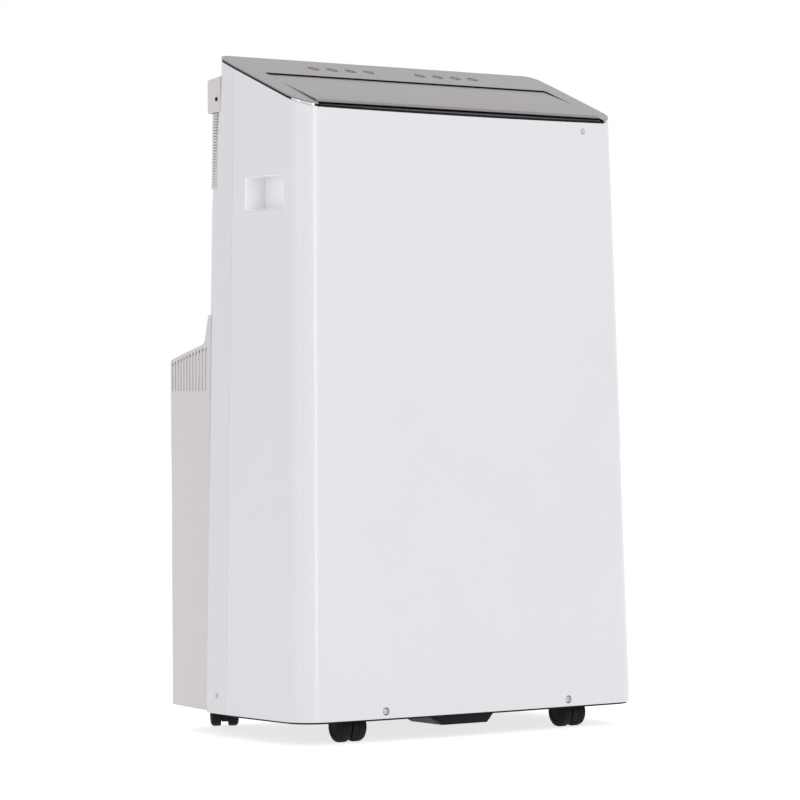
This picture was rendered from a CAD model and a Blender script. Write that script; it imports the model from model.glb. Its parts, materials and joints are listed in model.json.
"""The looks of a portable room air conditioner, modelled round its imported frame."""
import json
import math

import bmesh
import bpy
from bpy.props import FloatProperty, FloatVectorProperty, IntProperty, PointerProperty
from mathutils import Matrix, Vector


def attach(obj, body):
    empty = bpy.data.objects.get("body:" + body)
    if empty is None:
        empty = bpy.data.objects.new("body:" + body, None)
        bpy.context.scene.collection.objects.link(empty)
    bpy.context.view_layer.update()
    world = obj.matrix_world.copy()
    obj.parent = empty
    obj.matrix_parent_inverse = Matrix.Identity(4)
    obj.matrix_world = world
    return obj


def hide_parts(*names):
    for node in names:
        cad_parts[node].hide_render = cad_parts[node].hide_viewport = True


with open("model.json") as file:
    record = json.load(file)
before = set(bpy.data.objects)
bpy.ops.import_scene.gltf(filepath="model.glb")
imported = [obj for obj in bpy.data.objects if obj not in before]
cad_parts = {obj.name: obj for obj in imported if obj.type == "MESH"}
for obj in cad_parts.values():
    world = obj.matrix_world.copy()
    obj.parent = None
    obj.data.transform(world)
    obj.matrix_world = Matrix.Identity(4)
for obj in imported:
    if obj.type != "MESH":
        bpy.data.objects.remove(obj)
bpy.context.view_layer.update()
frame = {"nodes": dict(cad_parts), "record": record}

bl_info = {
    "name": "Portable air conditioner",
    "version": (1, 0, 0),
    "blender": (4, 5, 0),
    "location": "3D View > Sidebar > Air conditioner",
    "description": "Builds the visible pieces of a portable air conditioner on its frame",
    "category": "Object",
}

# ---- sizes in millimetres, with y measured back from the front face --------------------------
MM = 0.001
DEPTH_CENTRE = 155.0
FRONT_HALF, FRONT_CORNER, FRONT_SET, FRONT_BOW = 236.5, 35.0, 1.5, 4.0
HALF, SEAM_Y = 241.5, 151.0
HIP_X, HIP_Y, UPRIGHT_Y = 241.2, 172.0, 288.0
SHELL_BOTTOM, HOUSING_BOTTOM, FRONT_TOP, ABOVE = 26.7, 29.0, 700.0, 800.0
TAPER, LEAN = 15.0, 17.2
LEAN_START, LEAN_END = 600.0, 750.0
SLOPE = math.radians(21.46)
HOUSING_Y, HOUSING_TOP, REAR_BACK = 195.5, 476.5, 300.0
# back, half width at the back, corner radius, bulge of the side before the corner
LOWER_REAR = (300.0, 224.6, 12.0, 8.9)
MIDDLE_REAR = (198.0, 241.1, 5.0, 0.0)
TOP_REAR = (190.0, 241.5, 17.0, 0.0)
OPENING_HALF, OPENING_BACK = 198.3, 122.6
FLAP_HALF, FLAP_FRONT, FLAP_BACK = 197.0, 9.4, 120.4
FLAP_PIVOT, PIVOT_DROP = 117.6, -0.9
BUTTON_X = (-112.7, -87.2, -61.7, -36.2, 36.2, 61.7, 87.2, 112.7)
BUTTON_ROW = 153.7
HANDLE = (49.5, 125.5, 590.0, 628.5)
HANDLE_INNER = 202.0
INTAKE = (196.0, 486.0, 703.0)
LOWER_INTAKE = (190.0, 66.0, 256.0)
PORT = (92.0, 338.0, 69.0)
CASTERS = (
    ("front_left", -153.5, 48.0, 180.0),
    ("front_right", 153.5, 48.0, 180.0),
    ("rear_left", -162.0, 280.0, -28.0),
    ("rear_right", 162.0, 280.0, 14.0),
)
WHEEL_RADIUS, WHEEL_WIDTH, WHEEL_SPAN, TRAIL = 17.0, 12.0, 33.0, 11.0
CABINET = "cabinet"
ACROSS, BACKWARD, UPWARD = (1, 0, 0), (0, 1, 0), (0, 0, 1)
FAR = 300.0  # past every side of the casing
RECEIVER_X, RECEIVER_Z = 167.8, 689.5
BOTTOM_SCREW_X, BOTTOM_SCREW_Z = 127.0, 34.6
SIDE_SCREW_Y, SIDE_SCREW_Z = 169.6, 46.8
HOOD_SCREW_Y, HOOD_SCREW_Z = 186.8, 721.1
DRAINS = (("upper_drain", -110.0, 385.0), ("lower_drain", -60.0, 47.0))
GLAND_X, GLAND_Z = -172.0, 350.0
HOLE_START, HOLE_END = 285.0, 330.0  # a cutter through the housing's back
ROOF_Y, ROOF_HIGH, ROOF_LOW = 207.4, 444.0, 425.0
SLOT_Y, SLOT_PITCH, SLOT_HALF, SLOT_LOW = 203.4, 7.4, 1.7, 391.0
FILTER_SLOT = (170.4, 175.6, 479.0, 701.0)
CASTER_WELL = 36.0
GRILLE_ROOT, GRILLE_FACE, STRIP_LOW = 186.0, 197.6, 618.0
LOWER_ROOT, LOWER_FACE = 293.0, 300.0
MARK = 0.06  # how far a button's mark stands up
SHARP = math.radians(32.0)  # past this angle an edge is crisp
NET_WAVE, FIN_WAVE = 2600.0, 3400.0  # radians per metre
METAL_GRAIN, METAL_RELIEF = 900.0, 0.00002

# ---- the stage, in metres, watts and degrees --------------------------------------------------
FLOOR_SIZE = 30.0
# name, place, what it faces, size, power
LIGHTS = (
    ("key", (0.1, -3.2, 2.6), (0, 0, 0.4), (2.4, 2.4), 21),
    ("front_strip", (-0.88, -3.07, 0.6), (-0.2, -0.12, 0.4), (0.4, 2.2), 10),
    ("side_strip", (-3.0, -0.95, 0.6), (-0.2, -0.12, 0.4), (0.35, 2.2), 2),
)
CAMERA_AT = (-2.1918, -3.1493, 0.3520)
CAMERA_YAW, CAMERA_PITCH, CAMERA_ROLL = 34.865, 0.411, -0.355
CAMERA_LENS, CAMERA_FILM = 148.29, 36

# Outline planes: which way an outline's two coordinates and its thickness point.
PLANES = {
    "xy": Matrix.Identity(4),
    "yz": Matrix(((0, 0, 1, 0), (1, 0, 0, 0), (0, 1, 0, 0), (0, 0, 0, 1))),
    "zx": Matrix(((0, 1, 0, 0), (0, 0, 1, 0), (1, 0, 0, 0), (0, 0, 0, 1))),
}
# The sloping top's frame: x across, v up the slope from the white front edge, w square to it.
TOP = Matrix.Translation((0, LEAN, FRONT_TOP)) @ Matrix.Rotation(SLOPE, 4, "X")
TO_METRES = Matrix.Scale(MM, 4) @ Matrix.Translation((0, -DEPTH_CENTRE, 0))


# ---- shaping ---------------------------------------------------------------------------------
def slid(bm, faces, vector):
    """Extrudes faces along a vector."""
    made = bmesh.ops.extrude_face_region(bm, geom=faces)["geom"]
    verts = [g for g in made if isinstance(g, bmesh.types.BMVert)]
    bmesh.ops.translate(bm, verts=verts, vec=vector)
    return verts


def rounded(bm, corner, radius, steps):
    """Rounds the corner of a flat outline."""
    nearest = min(bm.verts, key=lambda v: (v.co.xy - Vector(corner)).length)
    bmesh.ops.bevel(
        bm,
        geom=[nearest],
        offset=radius,
        offset_type="OFFSET",
        segments=steps,
        profile=0.5,
        affect="VERTICES",
        material=-1,
    )


def outline_face(bm, points, rounds=None, steps=6):
    """A face through a few corners, some of them rounded: {corner number: radius}."""
    verts = [bm.verts.new((a, b, 0)) for a, b in points]
    bmesh.ops.contextual_create(bm, geom=verts)
    for number, radius in (rounds or {}).items():
        rounded(bm, points[number], radius, steps)


def prism(plane, points, low, high, rounds=None, steps=6):
    """A closed outline with thickness from low to high on the plane's third axis."""
    bm = bmesh.new()
    outline_face(bm, points, rounds, steps)
    slid(bm, bm.faces[:], (0, 0, high - low))
    bmesh.ops.translate(bm, verts=bm.verts, vec=(0, 0, low))
    bmesh.ops.transform(bm, matrix=PLANES[plane], verts=bm.verts)
    bmesh.ops.recalc_face_normals(bm, faces=bm.faces)
    return bm


def block(x0, x1, y0, y1, z0, z1):
    """A box between two corners."""
    bm = bmesh.new()
    bmesh.ops.create_cube(bm, size=1)
    bmesh.ops.scale(bm, vec=(x1 - x0, y1 - y0, z1 - z0), verts=bm.verts)
    centre = ((x0 + x1) / 2, (y0 + y1) / 2, (z0 + z1) / 2)
    bmesh.ops.translate(bm, verts=bm.verts, vec=centre)
    return bm


def rectangle(a0, a1, b0, b1):
    """A rectangle's corners."""
    return [(a0, b0), (a1, b0), (a1, b1), (a0, b1)]


def rounded_box(plane, a0, a1, b0, b1, low, high, radius, steps=5):
    """A box whose four edges across a plane are rounded."""
    rounds = dict.fromkeys(range(4), radius)
    return prism(plane, rectangle(a0, a1, b0, b1), low, high, rounds, steps)


def turned(profile, steps=32):
    """A solid of revolution about z through [radius, height] pairs that start and end on it."""
    bm = bmesh.new()
    verts = [bm.verts.new((r, 0, z)) for r, z in profile]
    edges = [bm.edges.new(pair) for pair in zip(verts, verts[1:])]
    bmesh.ops.spin(
        bm,
        geom=verts + edges,
        cent=(0, 0, 0),
        axis=(0, 0, 1),
        angle=math.tau,
        steps=steps,
        use_merge=True,
    )
    bmesh.ops.remove_doubles(bm, verts=bm.verts, dist=1e-4)
    bmesh.ops.recalc_face_normals(bm, faces=bm.faces)
    return bm


def moved(bm, matrix):
    """The same shape through a matrix."""
    bmesh.ops.transform(bm, matrix=matrix, verts=bm.verts)
    return bm


def pointing(axis, at):
    """A matrix that turns z to an axis and puts the origin at a place."""
    turn = Vector((0, 0, 1)).rotation_difference(Vector(axis)).to_matrix().to_4x4()
    return Matrix.Translation(at) @ turn


def rod(axis, radius, low, high, at, steps=32):
    """A round bar along an axis, from low to high past a place."""
    height = high - low
    bm = turned([(0, 0), (radius, 0), (radius, height), (0, height)], steps)
    start = Vector(at) + Vector(axis) * low
    return moved(bm, pointing(axis, start))


def sliced(bm, place, normal, cap=True):
    """Removes what is on the normal's side of a plane, and closes the cut."""
    bmesh.ops.bisect_plane(
        bm,
        geom=bm.verts[:] + bm.edges[:] + bm.faces[:],
        dist=1e-4,
        plane_co=place,
        plane_no=normal,
        clear_outer=True,
    )
    if cap:
        bmesh.ops.holes_fill(bm, edges=[e for e in bm.edges if e.is_boundary], sides=0)
        bmesh.ops.recalc_face_normals(bm, faces=bm.faces)
    return bm


def joined(first, *others):
    """Several separate shapes in one mesh."""
    for other in others:
        spare = bpy.data.meshes.new("spare")
        other.to_mesh(spare)
        first.from_mesh(spare)
        bpy.data.meshes.remove(spare)
        other.free()
    return first


def object_of(bm, name="spare"):
    """Puts a shape in the scene as an object."""
    mesh = bpy.data.meshes.new(name)
    bm.to_mesh(mesh)
    bm.free()
    made = bpy.data.objects.new(name, mesh)
    bpy.context.scene.collection.objects.link(made)
    return made


def applied(body, *spares):
    """The body's shape after its modifiers; the body and the spares are removed."""
    bpy.context.view_layer.update()
    shown = body.evaluated_get(bpy.context.evaluated_depsgraph_get())
    result = bmesh.new()
    result.from_mesh(shown.to_mesh())
    shown.to_mesh_clear()
    for spare in (body, *spares):
        mesh = spare.data
        bpy.data.objects.remove(spare)
        bpy.data.meshes.remove(mesh)
    return result


def carved(bm, *tools, how="DIFFERENCE"):
    """The shape after each tool is taken from it, added to it, or kept as their overlap."""
    body = object_of(bm)
    spares = [object_of(tool) for tool in tools]
    for spare in spares:
        step = body.modifiers.new("carve", "BOOLEAN")
        step.operation = how
        step.solver = "EXACT"
        step.object = spare
    return applied(body, *spares)


# ---- the tapered casing ----------------------------------------------------------------------
def casing(rear, inset=0.0, upper_rear=None):
    """The casing's closed form, drawn in by inset: its plan made tall, then tapered and leant."""
    back, half, corner, bulge = upper_rear or rear
    back, half = back - inset, half - inset
    points = [
        (-FRONT_HALF + inset, FRONT_SET + inset), (FRONT_HALF - inset, FRONT_SET + inset),
        (HALF - inset, SEAM_Y), (HIP_X - inset, HIP_Y), (half, back), (-half, back),
        (-HIP_X + inset, HIP_Y), (-HALF + inset, SEAM_Y),
    ]
    bm = bmesh.new()
    outline_face(bm, points)
    long_edges = [e for e in bm.edges if all(v.co.y < SEAM_Y / 2 for v in e.verts)]
    if bulge:
        sides = [e for e in bm.edges if abs((e.verts[0].co - e.verts[1].co).y) > 100]
        long_edges += [e for e in sides if all(v.co.y > SEAM_Y + 1 for v in e.verts)]
    for edge in long_edges:
        bmesh.ops.subdivide_edges(bm, edges=[edge], cuts=11)
    flat = FRONT_HALF - FRONT_CORNER
    for v in bm.verts:
        if v.co.y < SEAM_Y / 2 and abs(v.co.x) < flat:
            v.co.y -= FRONT_BOW * (1 - (v.co.x / flat) ** 2)
        along = (v.co.y - HIP_Y) / (back - HIP_Y)
        if 0 < along < 1:
            v.co.x += math.copysign(bulge * along * (1 - along), v.co.x)
    for side in (-1, 1):
        front = side * (FRONT_HALF - inset), FRONT_SET + inset
        rounded(bm, front, max(FRONT_CORNER - inset, 1), 14)
        rounded(bm, (side * half, back), max(corner - inset, 0.5), 8)
    slid(bm, bm.faces[:], (0, 0, ABOVE))
    for level in (LEAN_START, LEAN_END):
        everything = bm.verts[:] + bm.edges[:] + bm.faces[:]
        bmesh.ops.bisect_plane(bm, geom=everything, plane_co=(0, 0, level), plane_no=(0, 0, 1))
    for v in bm.verts:
        v.co = leant(v.co, rear if upper_rear else None, inset)
    bmesh.ops.recalc_face_normals(bm, faces=bm.faces)
    return bm


def leant(co, lower_rear, inset):
    """Where a point of the upright casing goes when it tapers and leans."""
    x, y, z = co
    if lower_rear and y > HIP_Y:
        top_back, top_half, top_corner, _ = TOP_REAR
        back, half, corner, _ = lower_rear
        top_corner, corner = top_corner - inset, max(corner - inset, 0.5)
        cx, cy = top_half - inset - top_corner, top_back - inset - top_corner
        new_x, new_y = half - inset - corner, back - inset - corner
        over = Vector((abs(x) - cx, y - cy)) / top_corner
        if over.y > 0.001:
            share = 1 - min(max((z - LEAN_START) / (LEAN_END - LEAN_START), 0), 1)
            low_x = new_x + over.x * corner if over.x > 0 else abs(x) * new_x / cx
            low = Vector((low_x, new_y + over.y * corner))
            place = Vector((abs(x), y)).lerp(low, share)
            x, y = math.copysign(place.x, x), place.y
    rise = (z - SHELL_BOTTOM) / (FRONT_TOP - SHELL_BOTTOM)
    ahead = max(0, 1 - y / SEAM_Y)
    behind = 0 if lower_rear else (y - HIP_Y) / (UPRIGHT_Y - HIP_Y)
    taper = TAPER * rise * (1 - min(max(behind, 0), 1))
    return Vector((x * (1 - taper / HALF), y + LEAN * rise * ahead, z))


def upper_casing(inset=0.0):
    """The casing above the housing, drawn in by inset."""
    return casing(MIDDLE_REAR, inset, TOP_REAR)


def lower_casing(inset=0.0):
    """The casing round the housing, drawn in by inset."""
    return casing(LOWER_REAR, inset)


def top_point(v, w):
    """A point of the sloping top's middle, from its place up the slope and square to it."""
    return TOP @ Vector((0, v, w))


def under_slope(bm, w, cap=True):
    """What lies below a plane parallel to the sloping top."""
    return sliced(bm, top_point(0, w), TOP.to_3x3() @ Vector((0, 0, 1)), cap)


def above_slope(bm, w, cap=True):
    """What lies above a plane parallel to the sloping top."""
    return sliced(bm, top_point(0, w), TOP.to_3x3() @ Vector((0, 0, -1)), cap)


# ---- materials -------------------------------------------------------------------------------
class Amount:
    """A shader value; arithmetic on it adds Math nodes."""

    def __init__(self, finish, socket):
        self.finish, self.socket = finish, socket

    def _with(self, operation, *values):
        return self.finish.node("ShaderNodeMath", {"operation": operation}, values)

    def __add__(self, other):
        return self._with("ADD", self, other)

    def __sub__(self, other):
        return self._with("SUBTRACT", self, other)

    def __mul__(self, other):
        return self._with("MULTIPLY", self, other)

    def __rsub__(self, other):
        return self._with("SUBTRACT", other, self)

    def sine(self):
        return self._with("SINE", self)

    __radd__ = __add__
    __rmul__ = __mul__


def socket_name(key):
    """A shader socket's name from a keyword."""
    return key.replace("_", " ").title().replace("Ior", "IOR")


class Finish:
    """A material whose nodes are added one call at a time."""

    def __init__(self, name, **constants):
        self.material = bpy.data.materials.new(name)
        self.material.use_nodes = True
        self.tree = self.material.node_tree
        self.shader = next(n for n in self.tree.nodes if n.type == "BSDF_PRINCIPLED")
        for key, value in constants.items():
            self.shader.inputs[socket_name(key)].default_value = value

    def node(self, kind, settings=None, inputs=(), output=0):
        """Adds a node: its settings first, then its sockets' values or links."""
        made = self.tree.nodes.new(kind)
        for key, value in (settings or {}).items():
            setattr(made, key, value)
        pairs = inputs.items() if isinstance(inputs, dict) else enumerate(inputs)
        for key, value in pairs:
            if isinstance(value, Amount):
                self.tree.links.new(value.socket, made.inputs[key])
            elif value is not None:
                made.inputs[key].default_value = value
        return Amount(self, made.outputs[output])

    def place(self):
        """The point's place on the piece."""
        return self.node("ShaderNodeTexCoord", output="Object")

    def along(self, *axes):
        """The point's place along each of some axes."""
        split = self.node("ShaderNodeSeparateXYZ", inputs=[self.place()]).socket.node
        return [Amount(self, split.outputs[axis]) for axis in axes]

    def noise(self, scale, detail=2.0, stretch=None):
        """Noise at a scale per metre, stretched along the axes."""
        vector = self.place()
        if stretch:
            vector = self.node("ShaderNodeMapping", inputs={"Vector": vector, "Scale": stretch})
        sockets = {"Vector": vector, "Scale": scale, "Detail": detail}
        return self.node("ShaderNodeTexNoise", inputs=sockets)

    def between(self, factor, first, second):
        """A colour that goes from the first to the second."""
        mix = {"data_type": "RGBA"}
        inputs = {0: factor, 6: (*first, 1), 7: (*second, 1)}
        return self.node("ShaderNodeMix", mix, inputs, output=2)

    def feed(self, **links):
        for key, value in links.items():
            self.tree.links.new(value.socket, self.shader.inputs[socket_name(key)])
        return self

    def bump(self, height, strength, distance):
        """Relief from a height, over a distance in metres."""
        inputs = {"Height": height, "Strength": strength, "Distance": distance}
        return self.feed(normal=self.node("ShaderNodeBump", inputs=inputs))


def shaded(colour, share):
    """A colour made darker or lighter by a share."""
    return tuple(min(1.0, c * share) for c in colour)


def moulding(name, colour, roughness, grain, depth, coat=0.0, spread=0.015, shine=0.5):
    """Moulded plastic: faint colour drift, uneven gloss and a fine grain."""
    finish = Finish(name, coat_weight=coat, coat_roughness=0.08, specular_ior_level=shine)
    drift = finish.noise(9.0)
    base = finish.between(drift, shaded(colour, 1 - spread), shaded(colour, 1 + spread))
    gloss = roughness + (finish.noise(38.0) - 0.5) * (roughness * 0.25)
    finish.feed(base_color=base, roughness=gloss)
    finish.bump(finish.noise(grain, 3.0), 0.35, depth)
    return finish.material


def metal(name, colour, roughness, stretch=(1, 1, 1)):
    """Bare or plated metal with a drawn or cast grain."""
    finish = Finish(name, metallic=1.0)
    grain = finish.noise(METAL_GRAIN, 3.0, stretch)
    base = finish.between(grain, shaded(colour, 0.85), shaded(colour, 1.08))
    finish.feed(base_color=base, roughness=roughness + (grain - 0.5) * 0.2)
    finish.bump(grain, 0.3, METAL_RELIEF)
    return finish.material


def silver_coat(colour):
    """A satin metallic coating: a fine sparkle under a thin clear layer."""
    finish = Finish("silver_coat", coat_weight=0.25, coat_roughness=0.2)
    flake = finish.noise(2600.0, 1.0)
    drift = finish.noise(6.0)
    base = finish.between(flake * 0.7 + drift * 0.3, shaded(colour, 0.93), shaded(colour, 1.07))
    finish.feed(base_color=base, roughness=0.34 + flake * 0.1, metallic=0.55 + drift * 0.1)
    finish.bump(flake, 0.15, 0.00001)
    return finish.material


def net_cloth(colour):
    """A filter's fine net: crossed threads in a plain frame."""
    finish = Finish("filter_net", roughness=0.8)
    across, up = finish.along("X", "Z")
    height = (across * NET_WAVE).sine() * 0.25 + (up * NET_WAVE).sine() * 0.25 + 0.5
    finish.feed(base_color=finish.between(height, shaded(colour, 0.7), colour))
    finish.bump(height, 0.5, 0.0003)
    return finish.material


def finned(colour):
    """A coil's face: close upright fins."""
    finish = Finish("coil_fins", metallic=0.9, roughness=0.4)
    (across,) = finish.along("X")
    height = (across * FIN_WAVE).sine() * 0.5 + 0.5
    finish.feed(base_color=finish.between(height, shaded(colour, 0.45), colour))
    finish.bump(height, 0.8, 0.0006)
    return finish.material


def tread(colour):
    """Hard caster rubber, scuffed where it rolls."""
    finish = Finish("caster_tread", specular_ior_level=0.12)
    scuff = finish.noise(160.0, 4.0)
    finish.feed(
        base_color=finish.between(scuff, shaded(colour, 0.8), shaded(colour, 1.6)),
        roughness=0.5 + scuff * 0.25,
    )
    finish.bump(finish.noise(1500.0), 0.3, 0.00005)
    return finish.material


# ---- pieces ----------------------------------------------------------------------------------
def settled(bm, name, body, finish, replaces=(), rim=0.0, steps=2):
    """Turns a shape into a finished piece on a body of the frame."""
    bmesh.ops.remove_doubles(bm, verts=bm.verts, dist=0.002)
    moved(bm, TO_METRES)
    piece = object_of(bm, name)
    piece.data.materials.append(coating(finish))
    piece.data.shade_smooth()
    piece.data.set_sharp_from_angle(angle=SHARP)
    if rim:
        edge = piece.modifiers.new("rim", "BEVEL")
        edge.width = rim * MM
        edge.segments = steps
        edge.limit_method = "ANGLE"
        edge.angle_limit = SHARP
        edge.use_clamp_overlap = True
        edge.harden_normals = True
        edge.miter_outer = "MITER_SHARP"
    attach(piece, body)
    if replaces:
        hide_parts(*replaces)
    return piece


def walled(bm, name, thickness):
    """Gives a skin a wall inwards."""
    skin = object_of(bm, name)
    wall = skin.modifiers.new("wall", "SOLIDIFY")
    wall.thickness = thickness
    wall.offset = -1
    wall.use_even_offset = True
    wall.use_quality_normals = True
    return applied(skin)


def coating(name):
    """A finish that has been made, by name."""
    return bpy.data.materials[name]


def handle_shape(grow, low, high):
    """A hand recess's opening, grown on every side."""
    y0, y1, z0, z1 = HANDLE
    return rounded_box(
        "yz", y0 - grow, y1 + grow, z0 - grow, z1 + grow, low, high, 4 + grow, 6
    )


class Sizes(bpy.types.PropertyGroup):
    """Sizes that a user would change."""

    wall: FloatProperty(
        name="Wall", description="Thickness of the casing's wall", default=0.0026, unit="LENGTH"
    )
    rim: FloatProperty(
        name="Rim", description="Rounding of the casing's edges", default=0.0005, unit="LENGTH"
    )
    rib_pitch: FloatProperty(
        name="Rib pitch",
        description="Spacing of the intake grille's ribs",
        default=0.0033,
        unit="LENGTH",
    )
    slots: IntProperty(
        name="Side slots", description="Slots on each side of the housing", default=13, min=1
    )


class Colours(bpy.types.PropertyGroup):
    """Colours that a user would change."""

    white: FloatVectorProperty(
        name="Front white",
        description="Gloss moulding of the front",
        subtype="COLOR",
        default=(0.58, 0.573, 0.602),
    )
    warm_white: FloatVectorProperty(
        name="Rear white",
        description="Satin moulding of the rear",
        subtype="COLOR",
        default=(0.505, 0.482, 0.484),
    )
    silver: FloatVectorProperty(
        name="Silver",
        description="Coating of the top panel and the flap",
        subtype="COLOR",
        default=(0.252, 0.23, 0.234),
    )
    button: FloatVectorProperty(
        name="Button", description="Button caps", subtype="COLOR", default=(0.10, 0.096, 0.096)
    )
    black: FloatVectorProperty(
        name="Black", description="Black mouldings", subtype="COLOR", default=(0.006, 0.006, 0.007)
    )


class COOLER_OT_finishes(bpy.types.Operator):
    """Makes every finish and puts the frame's own nodes in theirs"""

    bl_idname = "cooler.finishes"
    bl_label = "Finishes"
    bl_options = {"REGISTER", "UNDO"}

    def execute(self, context):
        colours = context.scene.cooler_colours
        white, warm = tuple(colours.white), tuple(colours.warm_white)
        black = tuple(colours.black)
        moulding("gloss_white", white, 0.24, 260.0, 0.00003, coat=0.35)
        moulding("satin_white", warm, 0.42, 700.0, 0.00003)
        moulding("casing_white", shaded(white, 0.96), 0.28, 600.0, 0.00001, coat=0.3)
        moulding("recess_white", (0.83, 0.83, 0.85), 0.35, 500.0, 0.00002)
        silver_coat(tuple(colours.silver))
        moulding("gloss_black", shaded(black, 0.6), 0.25, 200.0, 0.00001, shine=0.15)
        moulding("satin_black", black, 0.48, 900.0, 0.00005, spread=0.2, shine=0.12)
        moulding("button_cap", tuple(colours.button), 0.4, 900.0, 0.00001, shine=0.15)
        moulding("button_mark", (0.42, 0.42, 0.43), 0.5, 900.0, 0.00001, shine=0.2)
        moulding("smoked_lens", (0.45, 0.44, 0.45), 0.15, 200.0, 0.00001, coat=0.3)
        moulding("duct_grey", (0.24, 0.25, 0.27), 0.55, 800.0, 0.00005, spread=0.05)
        moulding("solder_mask", (0.01, 0.09, 0.03), 0.35, 500.0, 0.00004, coat=0.4, spread=0.3)
        moulding("black_enamel", (0.012, 0.013, 0.015), 0.3, 120.0, 0.00008, coat=0.4, spread=0.2)
        tread(shaded(black, 1.2))
        net_cloth((0.72, 0.72, 0.68))
        finned((0.7, 0.72, 0.75))
        metal("zinc_steel", (0.55, 0.56, 0.58), 0.35)
        metal("copper_tube", (0.75, 0.35, 0.18), 0.28, (1, 1, 0.1))
        metal("bright_edge", (0.75, 0.75, 0.76), 0.15)
        by_slot = {
            "front_white": "gloss_white",
            "rear_white": "satin_white",
            "silver": "silver_coat",
            "black_gloss": "gloss_black",
            "black": "satin_black",
            "button_grey": "button_cap",
            "smoked": "smoked_lens",
            "circuit": "solder_mask",
            "aluminium": "coil_fins",
            "steel": "zinc_steel",
            "copper": "copper_tube",
            "enamel": "black_enamel",
            "foam": "filter_net",
            "grey_plastic": "duct_grey",
        }
        for row in frame["record"]["subparts"]:
            node = frame["nodes"][row["node"]]
            node.data.materials.clear()
            node.data.materials.append(coating(by_slot[row["material_slot"]]))
        return {"FINISHED"}


class COOLER_OT_front(bpy.types.Operator):
    """Makes the front casing with its hand recesses, receiver hole and screw recesses"""

    bl_idname = "cooler.front"
    bl_label = "Front casing"
    bl_options = {"REGISTER", "UNDO"}

    def execute(self, context):
        sizes = context.scene.cooler_sizes
        skin = under_slope(upper_casing(), -0.3, False)
        sliced(skin, (0, 0, SHELL_BOTTOM), (0, 0, -1), False)
        sliced(skin, (0, SEAM_Y - 0.08, 0), (0, 1, 0), False)
        shell = walled(skin, "front", sizes.wall / MM)
        holes = [handle_shape(0.15, -FAR, FAR)]
        holes.append(rod(BACKWARD, 3.0, 0, 40, (RECEIVER_X, 0, RECEIVER_Z), 24))
        for x in (-BOTTOM_SCREW_X, BOTTOM_SCREW_X):
            holes.append(rod(BACKWARD, 4.4, -10, 14, (x, 0, BOTTOM_SCREW_Z), 24))
        shell = carved(shell, *holes)
        settled(
            shell, "front_casing", CABINET, "gloss_white", ["front_shell"],
            sizes.rim / MM, 3,
        )
        return {"FINISHED"}


class COOLER_OT_rear(bpy.types.Operator):
    """Makes the rear casing with its intake window and filter slot"""

    bl_idname = "cooler.rear"
    bl_label = "Rear casing"
    bl_options = {"REGISTER", "UNDO"}

    def execute(self, context):
        sizes = context.scene.cooler_sizes
        skin = under_slope(upper_casing(), -0.3, False)
        sliced(skin, (0, 0, SHELL_BOTTOM), (0, 0, -1), False)
        sliced(skin, (0, SEAM_Y + 0.08, 0), (0, -1, 0), False)
        shell = walled(skin, "rear", sizes.wall / MM)
        half, low, high = INTAKE
        shell = carved(
            shell,
            block(-FAR, FAR, HOUSING_Y - 2.7, 260, 0, HOUSING_TOP + 0.2),
            block(-226, 226, 190, 260, 0, HOUSING_TOP + 0.2),
            rounded_box("zx", low, high, -half, half, 175, 240, 3),
            rounded_box("yz", *FILTER_SLOT, 205, FAR, 2.2),
        )
        settled(
            shell, "rear_casing", CABINET, "casing_white", ["rear_shell"],
            sizes.rim / MM, 3,
        )
        return {"FINISHED"}


def roof_height(y):
    """The height of the housing's roof at a depth."""
    return ROOF_HIGH + (ROOF_LOW - ROOF_HIGH) * (y - ROOF_Y) / (REAR_BACK - ROOF_Y)


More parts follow.
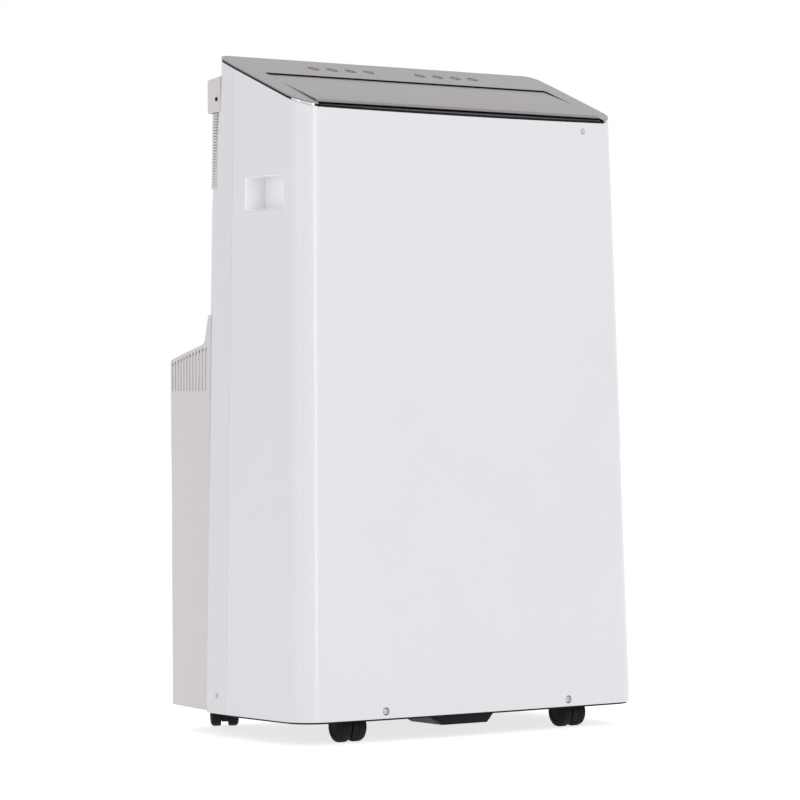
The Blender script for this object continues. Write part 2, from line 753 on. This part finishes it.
class COOLER_OT_housing(bpy.types.Operator):
    """Makes the lower rear housing: its rounded roof, side slots and openings"""

    bl_idname = "cooler.housing"
    bl_label = "Rear housing"
    bl_options = {"REGISTER", "UNDO"}

    def execute(self, context):
        sizes = context.scene.cooler_sizes
        profile = [
            (HOUSING_Y - 2.55, HOUSING_BOTTOM), (REAR_BACK + 2, HOUSING_BOTTOM),
            (REAR_BACK + 2, roof_height(REAR_BACK + 2)), (ROOF_Y, ROOF_HIGH), (203.2, 459.8),
            (198.7, HOUSING_TOP), (HOUSING_Y - 2.55, HOUSING_TOP),
        ]
        outer = carved(lower_casing(), prism("yz", profile, -FAR, FAR, {3: 5}), how="INTERSECT")
        hollow = [
            (HOUSING_Y - 6, 20), (REAR_BACK + 2, 20),
            (REAR_BACK + 2, roof_height(REAR_BACK) - 3.2), (206.4, 441.2), (200.4, 458.4),
            (HOUSING_Y - 6, 460),
        ]
        wall = sizes.wall / MM
        inner = carved(lower_casing(wall), prism("yz", hollow, -FAR, FAR), how="INTERSECT")
        half, low, high = LOWER_INTAKE
        px, pz, pr = PORT
        holes = [
            rounded_box("zx", low, high, -half, half, HOLE_START, HOLE_END, 3),
            rod(BACKWARD, pr, HOLE_START, HOLE_END, (px, 0, pz), 64),
            *(rod(BACKWARD, 8.4, HOLE_START, HOLE_END, (x, 0, z), 24) for _, x, z in DRAINS),
            rod(BACKWARD, 8.6, HOLE_START, HOLE_END, (GLAND_X, 0, GLAND_Z), 24),
        ]
        for _, x, y, _ in CASTERS[2:]:
            holes.append(rod(UPWARD, CASTER_WELL, 0, 40, (x, y, 0), 48))
        body = carved(outer, inner, *holes)
        for i in range(sizes.slots):
            y = SLOT_Y + i * SLOT_PITCH
            top = roof_height(max(y, 208)) - 4
            slot = rounded_box(
                "yz", y - SLOT_HALF, y + SLOT_HALF, SLOT_LOW, top, -FAR, FAR, 1.2, 3
            )
            body = carved(body, slot)
        settled(
            body, "rear_housing_shell", CABINET, "satin_white", ["rear_housing"],
            0.4, 3,
        )
        low, high = roof_height(294) - 7.5, roof_height(208) - 7.5
        strip = [(200, 388), (294, 388), (294, low), (208, high), (200, high)]
        baffles = carved(lower_casing(0.7), prism("yz", strip, -FAR, FAR), how="INTERSECT")
        baffles = carved(baffles, lower_casing(4.2))
        settled(baffles, "slot_baffles", CABINET, "satin_white")
        return {"FINISHED"}


class COOLER_OT_hood(bpy.types.Operator):
    """Makes the hood over the intake"""

    bl_idname = "cooler.hood"
    bl_label = "Intake hood"
    bl_options = {"REGISTER", "UNDO"}

    def execute(self, context):
        def tray(inset, low, front):
            plan = [(-226.3, front), (226.3, front), (227.5, 208), (-227.5, 208)]
            shape = prism("xy", plan, low, 760, {2: 5, 3: 5}, 5)
            for v in shape.verts:
                v.co.x -= math.copysign(inset, v.co.x)
                v.co.y -= inset if v.co.y > 190 else 0
            sliced(shape, (0, 208 - inset, 738.6 - inset), (0, 5.6, 5.7))
            return sliced(shape, (0, 202.3, 744.2 - inset), (0, 0.1, 1))

        body = carved(tray(0, 706.3, 180), tray(2.3, 700, 187))
        body = carved(body, upper_casing())
        settled(
            body, "intake_hood_shell", CABINET, "satin_white", ["intake_hood"], 0.8,
            2,
        )
        return {"FINISHED"}


def half_width(z, base=241.0):
    """Half the casing's width at a height, near its back."""
    return base * (1 - TAPER * (z - SHELL_BOTTOM) / (FRONT_TOP - SHELL_BOTTOM) / HALF)


def ribs(low, high, pitch, thick, y0, y1, reach, corner):
    """Level ribs between two heights; reach gives half of each rib's length."""
    made = []
    for i in range(int((high - low) / pitch)):
        z = low + (i + 0.5) * pitch
        points = rectangle(-reach(z), reach(z), y0, y1)
        rounds = {2: corner, 3: corner}
        made.append(prism("xy", points, z - thick / 2, z + thick / 2, rounds, 2))
    return joined(*made)


class COOLER_OT_grilles(bpy.types.Operator):
    """Makes the fine ribs of the intake grille and of the lower grille"""

    bl_idname = "cooler.grilles"
    bl_label = "Grilles"
    bl_options = {"REGISTER", "UNDO"}

    def execute(self, context):
        sizes = context.scene.cooler_sizes
        half, low, high = INTAKE
        pitch = sizes.rib_pitch / MM

        def reach(z):
            return half_width(z) + 0.8 if z > STRIP_LOW else half - 0.4

        grille = ribs(
            low + 1.5, high + 3.1, pitch, 2.1, GRILLE_ROOT, GRILLE_FACE, reach, 2.5
        )
        for side in (-1, 1):
            backing = block(196.5, 224.5, GRILLE_ROOT, GRILLE_FACE - 1.4, STRIP_LOW, 705.8)
            for v in backing.verts:
                v.co.x = side * (v.co.x + (half_width(v.co.z) - 226.0 if v.co.x > 200 else 0))
            bmesh.ops.recalc_face_normals(backing, faces=backing.faces)
            joined(grille, backing)
        for x in (-194.6, -130, -65, 0, 65, 130, 194.6):
            post = block(x - 1.6, x + 1.6, GRILLE_ROOT, GRILLE_FACE - 0.5, low + 0.5, high - 0.5)
            joined(grille, post)
        sill = block(-half + 0.4, half - 0.4, GRILLE_ROOT, GRILLE_FACE, low + 0.4, low + 2.2)
        joined(grille, sill)
        settled(
            grille, "intake_grille_ribs", CABINET, "satin_white", ["intake_grille"]
        )
        half, low, high = LOWER_INTAKE
        grille = ribs(
            low + 3,
            high - 3,
            pitch * 1.3,
            2.2,
            LOWER_ROOT,
            LOWER_FACE,
            lambda z: half - 0.4,
            0.6,
        )
        for x in (-188.2, -126, -63, 0, 63, 126, 188.2):
            face = LOWER_FACE - 0.4
            joined(grille, block(x - 1.5, x + 1.5, LOWER_ROOT, face, low + 0.4, high - 0.4))
        for z in (low + 0.4, high - 3.4):
            joined(grille, block(-half + 0.4, half - 0.4, LOWER_ROOT, LOWER_FACE, z, z + 3))
        settled(
            grille, "lower_grille_ribs", CABINET, "satin_white", ["lower_grille"]
        )
        return {"FINISHED"}


class COOLER_OT_handles(bpy.types.Operator):
    """Makes the two hand recesses"""

    bl_idname = "cooler.handles"
    bl_label = "Hand recesses"
    bl_options = {"REGISTER", "UNDO"}

    def execute(self, context):
        for side, name in ((-1, "left"), (1, "right")):
            low, high = sorted((side * (HANDLE_INNER - 2.4), side * 260))
            cup = carved(upper_casing(), handle_shape(0, low, high), how="INTERSECT")
            low, high = sorted((side * HANDLE_INNER, side * 262))
            cup = carved(cup, handle_shape(-0.6, low, high))
            bmesh.ops.triangulate(cup, faces=[f for f in cup.faces if len(f.verts) > 4])
            settled(
                cup, f"hand_recess_{name}", CABINET, "recess_white",
                [f"handle_cup_{name}"],
            )
        return {"FINISHED"}


class COOLER_OT_top(bpy.types.Operator):
    """Makes the silver panel and the black frame under it"""

    bl_idname = "cooler.top"
    bl_label = "Top panel"
    bl_options = {"REGISTER", "UNDO"}

    def execute(self, context):
        panel = above_slope(under_slope(upper_casing(0.1), 3.5), 2.05)
        opening = prism(
            "xy",
            rectangle(-OPENING_HALF, OPENING_HALF, -90, OPENING_BACK),
            -20,
            20,
            {2: 2.5, 3: 2.5},
        )
        holes = [moved(opening, TOP)]
        for x in BUTTON_X:
            hole = rod(UPWARD, 6.85, -4, 10, (x, BUTTON_ROW, 0), 32)
            holes.append(moved(hole, TOP))
        panel = carved(panel, *holes)
        settled(panel, "silver_panel", CABINET, "silver_coat", ["top_panel"], 0.35)
        ring = above_slope(under_slope(upper_casing(0.35), 1.95), -0.2)
        hollow = above_slope(under_slope(upper_casing(9), 10), -10)
        ring = carved(ring, hollow)
        for side in (-1, 1):
            near, far = sorted((side * 198.2, side * 213))
            lug = rounded_box("yz", 112, 123, -8, 1.5, near, far, 2)
            pin_hole = rod(ACROSS, 1.9, near - 1, far + 1, (0, FLAP_PIVOT, PIVOT_DROP), 16)
            joined(ring, moved(carved(lug, pin_hole), TOP))
        liner = block(-198.25, 198.25, 122.25, 122.55, -6, 3.2)
        for x in (-198.25, 197.95):
            joined(liner, block(x, x + 0.3, 2, 122.2, -6, 3.2))
        joined(ring, moved(liner, TOP))
        for side in (-1, 1):
            bright = above_slope(under_slope(upper_casing(0.12), 1.9), -0.1)
            core = above_slope(under_slope(upper_casing(1.4), 10), -10)
            near, far = sorted((side * 203, side * 300))
            corner = carved(bright, block(near, far, -20, 40, 600, 900), how="INTERSECT")
            settled(
                carved(corner, core), f"corner_glint_{'left' if side < 0 else 'right'}", CABINET,
                "bright_edge",
            )
        settled(ring, "top_frame", CABINET, "gloss_black", ["top_trim"], 0.3)
        return {"FINISHED"}


class COOLER_OT_flap(bpy.types.Operator):
    """Makes the outlet flap with its bevelled front edge and its pins"""

    bl_idname = "cooler.flap"
    bl_label = "Outlet flap"
    bl_options = {"REGISTER", "UNDO"}

    def execute(self, context):
        profile = [
            (FLAP_BACK, 2.0), (FLAP_FRONT + 3.4, 5.6), (FLAP_FRONT, 3.6), (FLAP_FRONT + 0.8, 2.6),
            (FLAP_BACK - 4, -2.2), (FLAP_BACK, -2.0),
        ]
        flap = prism("yz", profile, -FLAP_HALF, FLAP_HALF, {1: 0.8, 4: 2}, 3)
        pins = rod(ACROSS, 1.4, -204, 204, (0, FLAP_PIVOT, PIVOT_DROP), 20)
        joined(flap, pins)
        settled(
            moved(flap, TOP), "outlet_flap", "flap", "silver_coat", ["louver_flap"],
            0.35,
        )
        return {"FINISHED"}


def ring_mark():
    outer = turned([(2.0, 0), (2.6, 0), (2.6, MARK), (2.0, MARK), (2.0, 0)], 20)
    return joined(outer, block(-0.3, 0.3, 0.6, 3.4, 0, MARK))


def arrow_mark(way):
    points = [(-2.2, -way * 1.2), (2.2, -way * 1.2), (0, way * 1.8)]
    return prism("xy", points if way > 0 else points[::-1], 0, MARK)


def bars_mark():
    first = block(-2.2, 2.2, -1.9, -1.3, 0, MARK)
    return joined(first, block(-2.2, 2.2, -0.3, 0.3, 0, MARK), block(-2.2, 2.2, 1.3, 1.9, 0, MARK))


def cross_mark():
    return joined(block(-2.2, 2.2, -0.3, 0.3, 0, MARK), block(-0.3, 0.3, -2.2, 2.2, 0, MARK))


def drop_mark():
    return prism("xy", [(0, 2.4), (-1.6, -0.6), (0, -2.0), (1.6, -0.6)], 0, MARK, {2: 1.2}, 4)


class COOLER_OT_buttons(bpy.types.Operator):
    """Makes the eight button caps with their marks"""

    bl_idname = "cooler.buttons"
    bl_label = "Buttons"
    bl_options = {"REGISTER", "UNDO"}

    def execute(self, context):
        marks = [
            bars_mark,
            drop_mark,
            cross_mark,
            ring_mark,
            lambda: arrow_mark(1),
            lambda: arrow_mark(-1),
            bars_mark,
            ring_mark,
        ]
        for i, x in enumerate(BUTTON_X):
            cap = turned(
                [
                    (0, -7), (8, -7), (8, -5.6), (6.4, -5.6), (6.4, 3.1), (6.1, 3.5), (5.4, 3.6),
                    (3.0, 3.5), (0, 3.45),
                ],
                40,
            )
            place = TOP @ Matrix.Translation((x, BUTTON_ROW, 0))
            settled(
                moved(cap, place), f"button_cap_{i + 1}", f"button_{i + 1}",
                "button_cap", [f"button_{i + 1}"],
            )
            mark = moved(marks[i](), place @ Matrix.Translation((0, 0, 3.5)))
            settled(mark, f"button_mark_{i + 1}", f"button_{i + 1}", "button_mark")
        return {"FINISHED"}


class COOLER_OT_fittings(bpy.types.Operator):
    """Makes the receiver window, the screws, the exhaust collar, the plugs and the gland"""

    bl_idname = "cooler.fittings"
    bl_label = "Fittings"
    bl_options = {"REGISTER", "UNDO"}

    def screw(self, name, at, axis, replaces=(), finish="zinc_steel", radius=3.9):
        head = turned(
            [
                (0, -6), (1.7, -5), (1.7, 0), (radius, 0), (radius, 0.7), (radius * 0.75, 1.6),
                (0, 2.0),
            ],
            24,
        )
        cross = [block(-2.1, 2.1, -0.45, 0.45, 0.9, 3), block(-0.45, 0.45, -2.1, 2.1, 0.9, 3)]
        head = carved(head, *cross)
        settled(moved(head, pointing(axis, at)), name, CABINET, finish, replaces, 0.1)

    def execute(self, context):
        lens = turned([(0, 0), (2.6, 0), (2.6, 2.7), (2.2, 3.1), (0, 3.3)], 24)
        settled(
            moved(lens, pointing((0, -1, 0), (RECEIVER_X, LEAN + 2.9, RECEIVER_Z))),
            "receiver_lens", CABINET, "smoked_lens", ["ir_window"],
        )
        for side, name in ((-1, "left"), (1, "right")):
            self.screw(
                f"bottom_screw_{name}",
                (side * BOTTOM_SCREW_X, 1.8, BOTTOM_SCREW_Z),
                (0, -1, 0),
                [f"front_screw_{name}"],
            )
            x = side * (half_width(SIDE_SCREW_Z, 241.3) - 0.7)
            place = (x, SIDE_SCREW_Y, SIDE_SCREW_Z)
            self.screw(f"side_screw_{name}", place, (side, 0, 0), radius=3.0)
            x = side * (half_width(HOOD_SCREW_Z, 242.2) - 0.5)
            place = (x, HOOD_SCREW_Y, HOOD_SCREW_Z)
            self.screw(f"hood_screw_{name}", place, (side, 0, 0), (), "satin_black", 2.4)
        px, pz, radius = PORT
        collar = turned(
            [
                (radius - 3.6, 0), (radius - 3.6, 15.4), (radius - 2.9, 16), (radius - 1.3, 16),
                (radius - 0.6, 15.4), (radius - 0.6, 6.9), (83.2, 6.9), (84, 6.2), (84, 3.9),
                (radius - 0.6, 3.9), (radius - 0.6, 0), (radius - 3.6, 0),
            ],
            72,
        )
        for turn in range(4):
            rib = block(69, 82.5, -0.9, 0.9, 6.8, 9.4)
            joined(collar, moved(rib, Matrix.Rotation(math.tau * (turn + 0.5) / 4, 4, "Z")))
        settled(
            moved(collar, pointing(BACKWARD, (px, 296.5, pz))), "exhaust_ring", CABINET,
            "satin_black", ["exhaust_collar"],
        )
        gland = turned(
            [
                (4.2, 0), (4.2, 16), (5.4, 16), (7.6, 14.5), (8, 13), (12.2, 13), (13, 12.2),
                (13, 8.4), (8, 8.4), (8, 0), (4.2, 0),
            ],
            32,
        )
        settled(
            moved(gland, pointing(BACKWARD, (GLAND_X, 292, GLAND_Z))), "cord_gland", CABINET,
            "satin_black", ["cord_inlet"],
        )
        for name, x, z in DRAINS:
            plug = turned(
                [
                    (0, 0), (7.6, 0), (7.6, 17.4), (11, 17.4), (11, 21.6), (10, 22.9),
                    (8.6, 23.4), (0, 23.5),
                ],
                32,
            )
            grip = rounded_box("xy", -7.5, 7.5, -1.4, 1.4, 22.6, 27.0, 1.2, 3)
            settled(
                moved(joined(plug, grip), pointing(BACKWARD, (x, 283, z))), f"{name}_stopper",
                name, "satin_black", [f"{name}_plug"],
            )
        return {"FINISHED"}


class COOLER_OT_casters(bpy.types.Operator):
    """Makes the four twin-wheel casters"""

    bl_idname = "cooler.casters"
    bl_label = "Casters"
    bl_options = {"REGISTER", "UNDO"}

    def fork(self):
        web = WHEEL_SPAN - 2 * WHEEL_WIDTH - 1.6
        cheek = rod(ACROSS, 17.4, -web / 2, web / 2, (0, TRAIL, WHEEL_RADIUS), 40)
        neck = rounded_box("yz", -9, TRAIL + 5, 20, 40, -web / 2, web / 2, 3)
        body = carved(cheek, neck, how="UNION")
        body = carved(
            body,
            rod(ACROSS, 3.4, -20, 20, (0, TRAIL, WHEEL_RADIUS), 20),
            block(-20, 20, -20, 60, -5, 6),
        )
        cap = turned([(0, 37.6), (11.4, 37.6), (12, 38.2), (12, 44.2), (4, 44.2), (4, 62), (0, 62)])
        return joined(body, cap)

    def wheels(self):
        made = None
        for side in (-1, 1):
            wheel = turned(
                [
                    (0, 0), (15.8, 0), (16.6, 0.4), (WHEEL_RADIUS, 1.4), (WHEEL_RADIUS, 8),
                    (16.3, 10), (14.4, 11.4), (11.0, 11.9), (10.4, 11.2), (6.4, 11.2), (5.8, 12),
                    (0, 12),
                ],
                40,
            )
            at = (side * (WHEEL_SPAN / 2 - WHEEL_WIDTH), 0, 0)
            moved(wheel, pointing((side, 0, 0), at))
            made = wheel if made is None else joined(made, wheel)
        return joined(made, rod(ACROSS, 3, -12, 12, (0, 0, 0), 16))

    def execute(self, context):
        for name, x, y, turn in CASTERS:
            swivel = Matrix.Translation((x, y, 0)) @ Matrix.Rotation(math.radians(turn), 4, "Z")
            settled(
                moved(self.fork(), swivel), f"caster_fork_{name}", f"swivel_{name}",
                "satin_black", [f"caster_yoke_{name}"], 0.6, 2,
            )
            axle = swivel @ Matrix.Translation((0, TRAIL, WHEEL_RADIUS))
            settled(
                moved(self.wheels(), axle), f"caster_pair_{name}", f"wheels_{name}",
                "caster_tread", [f"caster_wheels_{name}"],
            )
        return {"FINISHED"}


class COOLER_OT_stage(bpy.types.Operator):
    """Makes the floor, the lights and the camera"""

    bl_idname = "cooler.stage"
    bl_label = "Stage"
    bl_options = {"REGISTER", "UNDO"}

    def light(self, name, at, aim, size, power):
        data = bpy.data.lights.new(name, "AREA")
        data.shape = "RECTANGLE"
        data.size, data.size_y = size
        data.energy = power
        made = bpy.data.objects.new(name, data)
        made.location = at
        made.rotation_mode = "QUATERNION"
        made.rotation_quaternion = (Vector(aim) - Vector(at)).to_track_quat("-Z", "Y")
        bpy.context.scene.collection.objects.link(made)

    def execute(self, context):
        floor = bmesh.new()
        bmesh.ops.create_grid(floor, x_segments=1, y_segments=1, size=FLOOR_SIZE)
        floor = object_of(floor, "floor")
        paper = Finish("pale_floor", roughness=0.9, emission_strength=0.75)
        drift = paper.noise(2.0)
        paper.feed(
            base_color=paper.between(drift, (0.46, 0.46, 0.46), (0.48, 0.48, 0.48)),
            emission_color=paper.between(drift, (0.99, 0.99, 0.99), (1.0, 1.0, 1.0)),
        )
        floor.data.materials.append(paper.material)
        world = bpy.data.worlds.new("studio")
        world.use_nodes = True
        back = world.node_tree.nodes["Background"]
        back.inputs["Color"].default_value = (1, 1, 1, 1)
        back.inputs["Strength"].default_value = 1.0
        bpy.context.scene.world = world
        bpy.context.scene.view_settings.view_transform = "Standard"
        for row in LIGHTS:
            self.light(*row)
        self.camera()
        return {"FINISHED"}

    def camera(self):
        turns = CAMERA_YAW, CAMERA_PITCH, CAMERA_ROLL
        yaw, pitch, roll = (math.radians(a) for a in turns)
        ahead = Vector((math.sin(yaw), math.cos(yaw), 0))
        right = Vector((math.cos(yaw), -math.sin(yaw), 0))
        up = Vector((0, 0, 1))
        look = ahead * math.cos(pitch) + up * math.sin(pitch)
        lift = up * math.cos(pitch) - ahead * math.sin(pitch)
        side = right * math.cos(roll) + lift * math.sin(roll)
        lift = lift * math.cos(roll) - right * math.sin(roll)
        data = bpy.data.cameras.new("camera")
        data.lens = CAMERA_LENS
        data.sensor_width = CAMERA_FILM
        data.clip_end = 100
        camera = bpy.data.objects.new("camera", data)
        turn = Matrix((side, lift, -look)).transposed().to_4x4()
        camera.matrix_world = Matrix.Translation(CAMERA_AT) @ turn
        bpy.context.scene.collection.objects.link(camera)
        bpy.context.scene.camera = camera


MAKERS = (
    COOLER_OT_finishes,
    COOLER_OT_front,
    COOLER_OT_rear,
    COOLER_OT_housing,
    COOLER_OT_hood,
    COOLER_OT_grilles,
    COOLER_OT_handles,
    COOLER_OT_top,
    COOLER_OT_flap,
    COOLER_OT_buttons,
    COOLER_OT_fittings,
    COOLER_OT_casters,
    COOLER_OT_stage,
)


class COOLER_PT_panel(bpy.types.Panel):
    """Lists the operators that make the pieces"""

    bl_label = "Air conditioner"
    bl_space_type = "VIEW_3D"
    bl_region_type = "UI"
    bl_category = "Air conditioner"

    def draw(self, context):
        for group in (context.scene.cooler_sizes, context.scene.cooler_colours):
            for name in group.__annotations__:
                self.layout.prop(group, name)
        for maker in MAKERS:
            self.layout.operator(maker.bl_idname)


CLASSES = (Sizes, Colours, *MAKERS, COOLER_PT_panel)


def register():
    for cls in CLASSES:
        bpy.utils.register_class(cls)
    bpy.types.Scene.cooler_sizes = PointerProperty(type=Sizes)
    bpy.types.Scene.cooler_colours = PointerProperty(type=Colours)


def unregister():
    del bpy.types.Scene.cooler_colours
    del bpy.types.Scene.cooler_sizes
    for cls in reversed(CLASSES):
        bpy.utils.unregister_class(cls)


def main():
    register()
    for maker in MAKERS:
        getattr(bpy.ops.cooler, maker.bl_idname.split(".")[1])()


if __name__ == "__main__":
    main()
